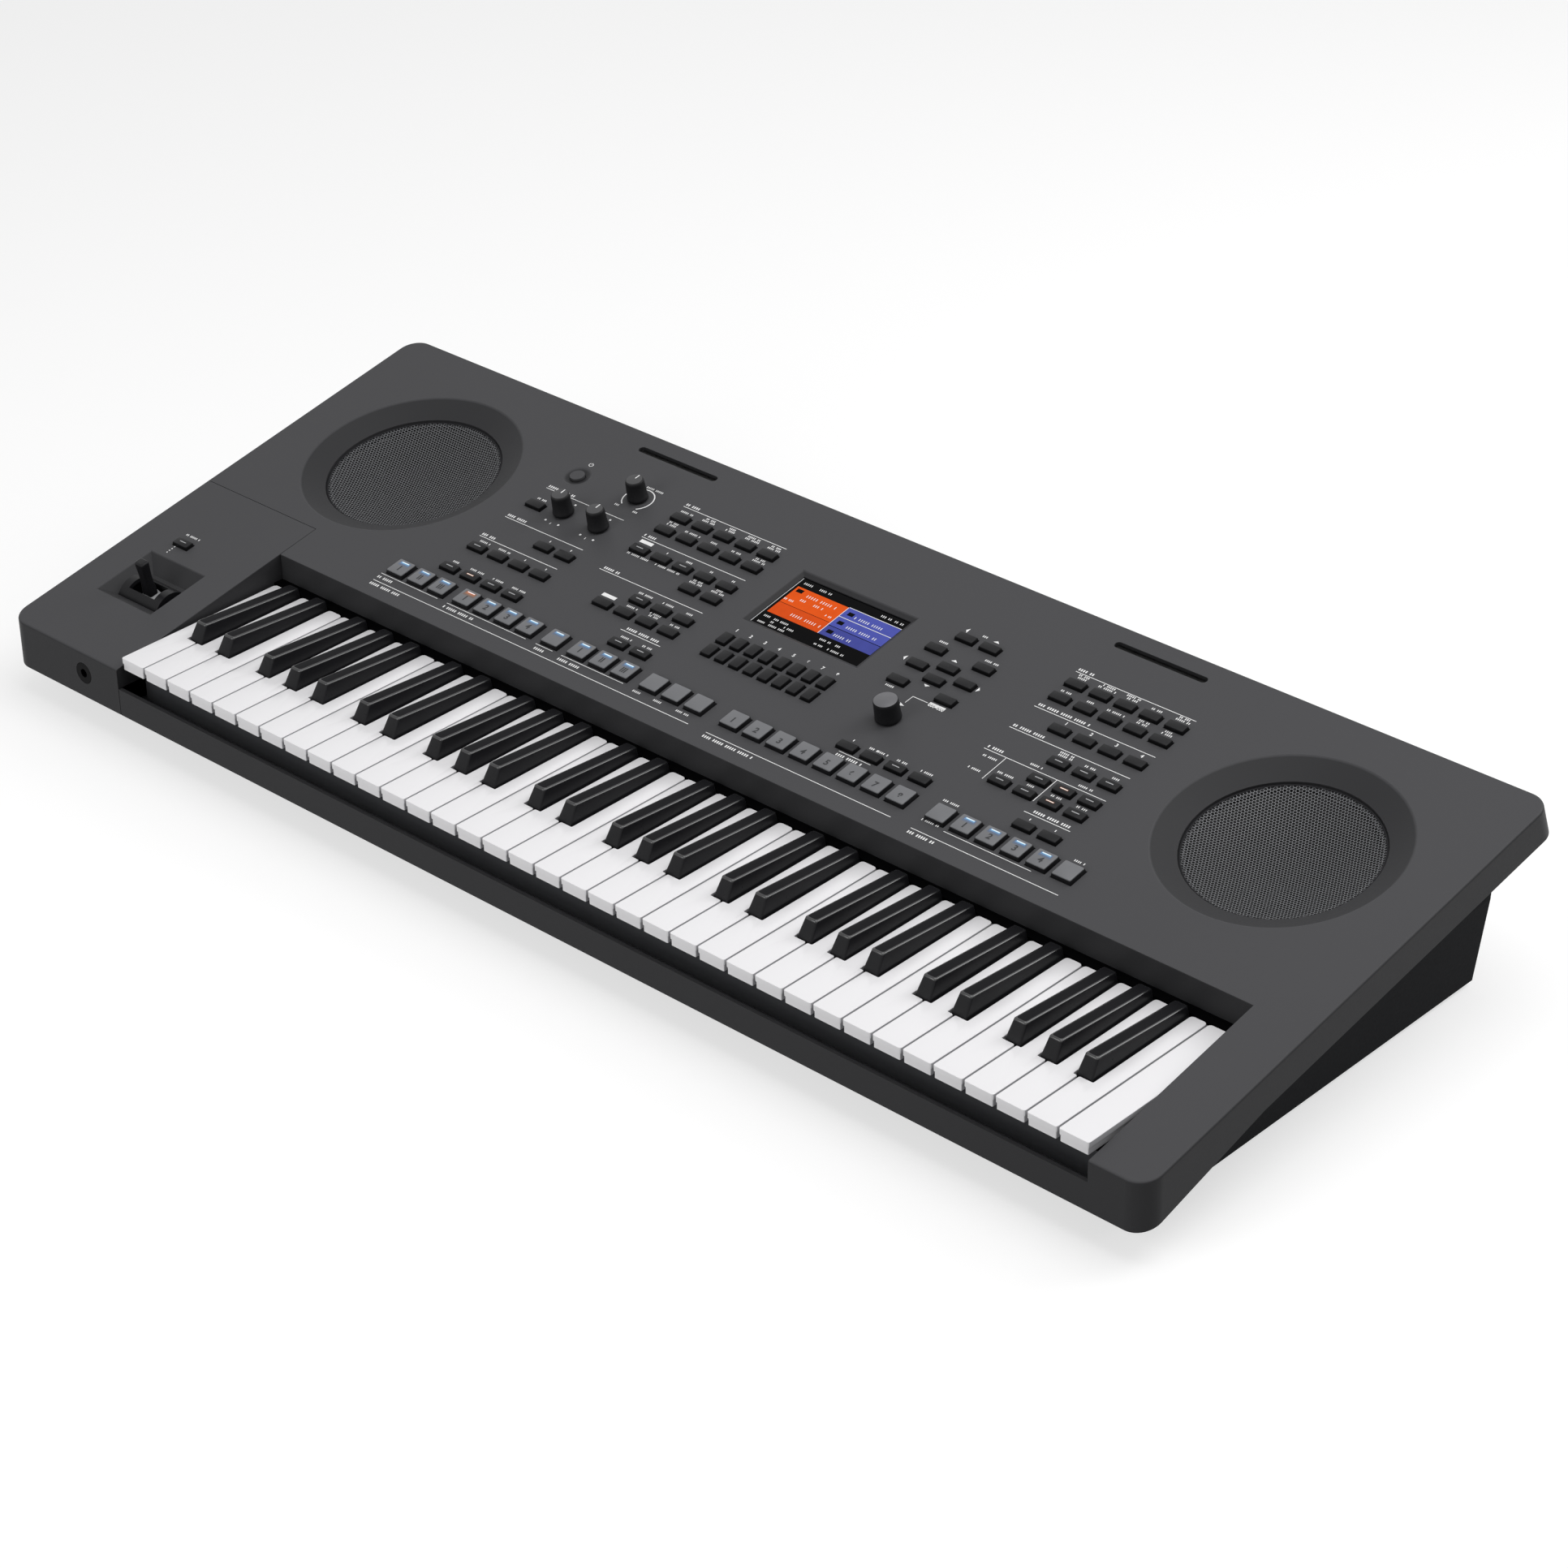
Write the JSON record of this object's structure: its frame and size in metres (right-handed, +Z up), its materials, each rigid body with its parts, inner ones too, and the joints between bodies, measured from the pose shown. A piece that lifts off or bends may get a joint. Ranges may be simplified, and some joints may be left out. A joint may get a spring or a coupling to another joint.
{
  "type": "arranger keyboard",
  "caption": "Portable electronic keyboard with hinged full-size keys, a sloping panel of buttons, pads, knobs and a display, twin speakers and a two-axis joystick.",
  "frame": {"origin": "middle of the outline, on the table under the feet", "axes": "+X along the keys from bass to treble, +Y from the keys to the rear, +Z up"},
  "size_m": [1.007, 0.399, 0.1397],
  "materials": {
    "case_plastic": "fine satin texture, charcoal",
    "base_plastic": "matt black moulding",
    "white_key": "glossy white",
    "black_key": "satin black",
    "pad": "translucent grey satin",
    "button": "satin black",
    "knob": "matt black",
    "window": "clear pane",
    "screen": "lit colour display",
    "grille": "perforated steel, matt black",
    "basket": "pressed steel, black",
    "cone": "black treated paper",
    "magnet": "bare ferrite",
    "board": "green solder mask",
    "chassis": "moulded grey",
    "steel": "bright steel",
    "felt": "black felt",
    "rubber": "black rubber",
    "contact": "pale silicone",
    "socket": "black socket bodies"
  },
  "bodies": {
    "case": {"upper_case": "case_plastic", "left_control_panel": "case_plastic", "lower_case": "base_plastic", "display_window": "window", "display_module": "screen", "speaker_grilles": "grille", "speaker_baskets": "basket", "speaker_cones": "cone", "speaker_magnets": "magnet", "main_board": "board", "panel_boards": "board", "key_frame": "chassis", "key_pivot_rod": "steel", "contact_boards": "board", "contact_rubbers": "contact", "key_felts": "felt", "joystick_bracket": "chassis", "control_pots": "steel", "jack_sockets": "socket", "rear_ports": "steel", "rubber_feet": "rubber", "case_screws": "steel"},
    "white_keys_cegb_1": {"white_keys_cegb_1": "white_key"},
    "white_keys_dfa_1": {"white_keys_dfa_1": "white_key"},
    "black_keys_1": {"black_keys_1": "black_key"},
    "white_keys_cegb_2": {"white_keys_cegb_2": "white_key"},
    "white_keys_dfa_2": {"white_keys_dfa_2": "white_key"},
    "black_keys_2": {"black_keys_2": "black_key"},
    "white_keys_cegb_3": {"white_keys_cegb_3": "white_key"},
    "white_keys_dfa_3": {"white_keys_dfa_3": "white_key"},
    "black_keys_3": {"black_keys_3": "black_key"},
    "white_keys_cegb_4": {"white_keys_cegb_4": "white_key"},
    "white_keys_dfa_4": {"white_keys_dfa_4": "white_key"},
    "black_keys_4": {"black_keys_4": "black_key"},
    "white_keys_cegb_5": {"white_keys_cegb_5": "white_key"},
    "white_keys_dfa_5": {"white_keys_dfa_5": "white_key"},
    "black_keys_5": {"black_keys_5": "black_key"},
    "white_key_top_c": {"white_key_top_c": "white_key"},
    "style_pads": {"style_pads": "pad"},
    "registration_pads": {"registration_pads": "pad"},
    "multi_pads": {"multi_pads": "pad"},
    "display_buttons": {"display_buttons": "button"},
    "tempo_buttons": {"tempo_buttons": "button"},
    "style_select_buttons": {"style_select_buttons": "button"},
    "song_buttons": {"song_buttons": "button"},
    "function_buttons": {"function_buttons": "button"},
    "cursor_buttons": {"cursor_buttons": "button"},
    "bank_buttons": {"bank_buttons": "button"},
    "voice_buttons": {"voice_buttons": "button"},
    "one_touch_buttons": {"one_touch_buttons": "button"},
    "effect_buttons": {"effect_buttons": "button"},
    "part_buttons": {"part_buttons": "button"},
    "hold_button": {"hold_button": "button"},
    "power_button": {"power_button": "button"},
    "live_knob_1": {"live_knob_1": "knob"},
    "live_knob_2": {"live_knob_2": "knob"},
    "volume_knob": {"volume_knob": "knob"},
    "data_dial": {"data_dial": "knob"},
    "joystick_drum": {"joystick_drum": "knob"},
    "joystick_lever": {"joystick_lever": "knob"}
  },
  "joints": [
    {"name": "white_keys_cegb_1_press", "type": "hinge", "parent": "case", "child": "white_keys_cegb_1", "pos_m": [0, 0.009, 0.055], "axis": [1, 0, 0], "range_deg": [0, 2.79], "stiffness_Nm_per_rad": 2, "springref_deg": -18.91},
    {"name": "white_keys_dfa_1_press", "type": "hinge", "parent": "case", "child": "white_keys_dfa_1", "pos_m": [0, 0.009, 0.055], "axis": [1, 0, 0], "range_deg": [0, 2.79], "stiffness_Nm_per_rad": 1.5, "springref_deg": -18.91},
    {"name": "black_keys_1_press", "type": "hinge", "parent": "case", "child": "black_keys_1", "pos_m": [0, 0.009, 0.055], "axis": [1, 0, 0], "range_deg": [0, 3.3], "stiffness_Nm_per_rad": 2, "springref_deg": -17.19},
    {"name": "white_keys_cegb_2_press", "type": "hinge", "parent": "case", "child": "white_keys_cegb_2", "pos_m": [0, 0.009, 0.055], "axis": [1, 0, 0], "range_deg": [0, 2.79], "stiffness_Nm_per_rad": 2, "springref_deg": -18.91},
    {"name": "white_keys_dfa_2_press", "type": "hinge", "parent": "case", "child": "white_keys_dfa_2", "pos_m": [0, 0.009, 0.055], "axis": [1, 0, 0], "range_deg": [0, 2.79], "stiffness_Nm_per_rad": 1.5, "springref_deg": -18.91},
    {"name": "black_keys_2_press", "type": "hinge", "parent": "case", "child": "black_keys_2", "pos_m": [0, 0.009, 0.055], "axis": [1, 0, 0], "range_deg": [0, 3.3], "stiffness_Nm_per_rad": 2, "springref_deg": -17.19},
    {"name": "white_keys_cegb_3_press", "type": "hinge", "parent": "case", "child": "white_keys_cegb_3", "pos_m": [0, 0.009, 0.055], "axis": [1, 0, 0], "range_deg": [0, 2.79], "stiffness_Nm_per_rad": 2, "springref_deg": -18.91},
    {"name": "white_keys_dfa_3_press", "type": "hinge", "parent": "case", "child": "white_keys_dfa_3", "pos_m": [0, 0.009, 0.055], "axis": [1, 0, 0], "range_deg": [0, 2.79], "stiffness_Nm_per_rad": 1.5, "springref_deg": -18.91},
    {"name": "black_keys_3_press", "type": "hinge", "parent": "case", "child": "black_keys_3", "pos_m": [0, 0.009, 0.055], "axis": [1, 0, 0], "range_deg": [0, 3.3], "stiffness_Nm_per_rad": 2, "springref_deg": -17.19},
    {"name": "white_keys_cegb_4_press", "type": "hinge", "parent": "case", "child": "white_keys_cegb_4", "pos_m": [0, 0.009, 0.055], "axis": [1, 0, 0], "range_deg": [0, 2.79], "stiffness_Nm_per_rad": 2, "springref_deg": -18.91},
    {"name": "white_keys_dfa_4_press", "type": "hinge", "parent": "case", "child": "white_keys_dfa_4", "pos_m": [0, 0.009, 0.055], "axis": [1, 0, 0], "range_deg": [0, 2.79], "stiffness_Nm_per_rad": 1.5, "springref_deg": -18.91},
    {"name": "black_keys_4_press", "type": "hinge", "parent": "case", "child": "black_keys_4", "pos_m": [0, 0.009, 0.055], "axis": [1, 0, 0], "range_deg": [0, 3.3], "stiffness_Nm_per_rad": 2, "springref_deg": -17.19},
    {"name": "white_keys_cegb_5_press", "type": "hinge", "parent": "case", "child": "white_keys_cegb_5", "pos_m": [0, 0.009, 0.055], "axis": [1, 0, 0], "range_deg": [0, 2.79], "stiffness_Nm_per_rad": 2, "springref_deg": -18.91},
    {"name": "white_keys_dfa_5_press", "type": "hinge", "parent": "case", "child": "white_keys_dfa_5", "pos_m": [0, 0.009, 0.055], "axis": [1, 0, 0], "range_deg": [0, 2.79], "stiffness_Nm_per_rad": 1.5, "springref_deg": -18.91},
    {"name": "black_keys_5_press", "type": "hinge", "parent": "case", "child": "black_keys_5", "pos_m": [0, 0.009, 0.055], "axis": [1, 0, 0], "range_deg": [0, 3.3], "stiffness_Nm_per_rad": 2, "springref_deg": -17.19},
    {"name": "white_key_top_c_press", "type": "hinge", "parent": "case", "child": "white_key_top_c", "pos_m": [0, 0.009, 0.055], "axis": [1, 0, 0], "range_deg": [0, 2.79], "stiffness_Nm_per_rad": 0.5, "springref_deg": -18.91},
    {"name": "style_pads_press", "type": "slide", "parent": "case", "child": "style_pads", "axis": [0, 0.1893, -0.9819], "range_m": [0, 0.001], "stiffness_N_per_m": 100, "springref_m": -0.012},
    {"name": "registration_pads_press", "type": "slide", "parent": "case", "child": "registration_pads", "axis": [0, 0.1893, -0.9819], "range_m": [0, 0.001], "stiffness_N_per_m": 100, "springref_m": -0.012},
    {"name": "multi_pads_press", "type": "slide", "parent": "case", "child": "multi_pads", "axis": [0, 0.1893, -0.9819], "range_m": [0, 0.001], "stiffness_N_per_m": 100, "springref_m": -0.012},
    {"name": "display_buttons_press", "type": "slide", "parent": "case", "child": "display_buttons", "axis": [0, 0.1893, -0.9819], "range_m": [0, 0.001], "stiffness_N_per_m": 100, "springref_m": -0.012},
    {"name": "tempo_buttons_press", "type": "slide", "parent": "case", "child": "tempo_buttons", "axis": [0, 0.1893, -0.9819], "range_m": [0, 0.001], "stiffness_N_per_m": 100, "springref_m": -0.012},
    {"name": "style_select_buttons_press", "type": "slide", "parent": "case", "child": "style_select_buttons", "axis": [0, 0.1893, -0.9819], "range_m": [0, 0.001], "stiffness_N_per_m": 100, "springref_m": -0.012},
    {"name": "song_buttons_press", "type": "slide", "parent": "case", "child": "song_buttons", "axis": [0, 0.1893, -0.9819], "range_m": [0, 0.001], "stiffness_N_per_m": 100, "springref_m": -0.012},
    {"name": "function_buttons_press", "type": "slide", "parent": "case", "child": "function_buttons", "axis": [0, 0.1893, -0.9819], "range_m": [0, 0.001], "stiffness_N_per_m": 100, "springref_m": -0.012},
    {"name": "cursor_buttons_press", "type": "slide", "parent": "case", "child": "cursor_buttons", "axis": [0, 0.1893, -0.9819], "range_m": [0, 0.001], "stiffness_N_per_m": 100, "springref_m": -0.012},
    {"name": "bank_buttons_press", "type": "slide", "parent": "case", "child": "bank_buttons", "axis": [0, 0.1893, -0.9819], "range_m": [0, 0.001], "stiffness_N_per_m": 100, "springref_m": -0.012},
    {"name": "voice_buttons_press", "type": "slide", "parent": "case", "child": "voice_buttons", "axis": [0, 0.1893, -0.9819], "range_m": [0, 0.001], "stiffness_N_per_m": 100, "springref_m": -0.012},
    {"name": "one_touch_buttons_press", "type": "slide", "parent": "case", "child": "one_touch_buttons", "axis": [0, 0.1893, -0.9819], "range_m": [0, 0.001], "stiffness_N_per_m": 100, "springref_m": -0.012},
    {"name": "effect_buttons_press", "type": "slide", "parent": "case", "child": "effect_buttons", "axis": [0, 0.1893, -0.9819], "range_m": [0, 0.001], "stiffness_N_per_m": 100, "springref_m": -0.012},
    {"name": "part_buttons_press", "type": "slide", "parent": "case", "child": "part_buttons", "axis": [0, 0.1893, -0.9819], "range_m": [0, 0.001], "stiffness_N_per_m": 100, "springref_m": -0.012},
    {"name": "hold_button_press", "type": "slide", "parent": "case", "child": "hold_button", "axis": [0, 0.1893, -0.9819], "range_m": [0, 0.001], "stiffness_N_per_m": 60, "springref_m": -0.01},
    {"name": "power_button_press", "type": "slide", "parent": "case", "child": "power_button", "axis": [0, 0.1893, -0.9819], "range_m": [0, 0.001], "stiffness_N_per_m": 60, "springref_m": -0.01},
    {"name": "live_knob_1_turn", "type": "hinge", "parent": "case", "child": "live_knob_1", "pos_m": [-0.2445, 0.08958, 0.11412], "axis": [0, -0.1893, 0.9819], "range_deg": [-150, 150]},
    {"name": "live_knob_2_turn", "type": "hinge", "parent": "case", "child": "live_knob_2", "pos_m": [-0.2104, 0.08958, 0.11412], "axis": [0, -0.1893, 0.9819], "range_deg": [-150, 150]},
    {"name": "volume_knob_turn", "type": "hinge", "parent": "case", "child": "volume_knob", "pos_m": [-0.2104, 0.12886, 0.12169], "axis": [0, -0.1893, 0.9819], "range_deg": [-150, 150]},
    {"name": "data_dial_turn", "type": "hinge", "parent": "case", "child": "data_dial", "pos_m": [0.1021, 0.03822, 0.10422], "axis": [0, -0.1893, 0.9819], "continuous": true},
    {"name": "joystick_modulation", "type": "hinge", "parent": "case", "child": "joystick_drum", "pos_m": [-0.4427, -0.12053, 0.05763], "axis": [1, 0, 0], "range_deg": [-18, 18], "stiffness_Nm_per_rad": 0.25},
    {"name": "joystick_bend", "type": "hinge", "parent": "joystick_drum", "child": "joystick_lever", "pos_m": [-0.4427, -0.12053, 0.05763], "axis": [0, 0.9819, 0.1893], "range_deg": [-18, 18], "stiffness_Nm_per_rad": 0.2}
  ]
}
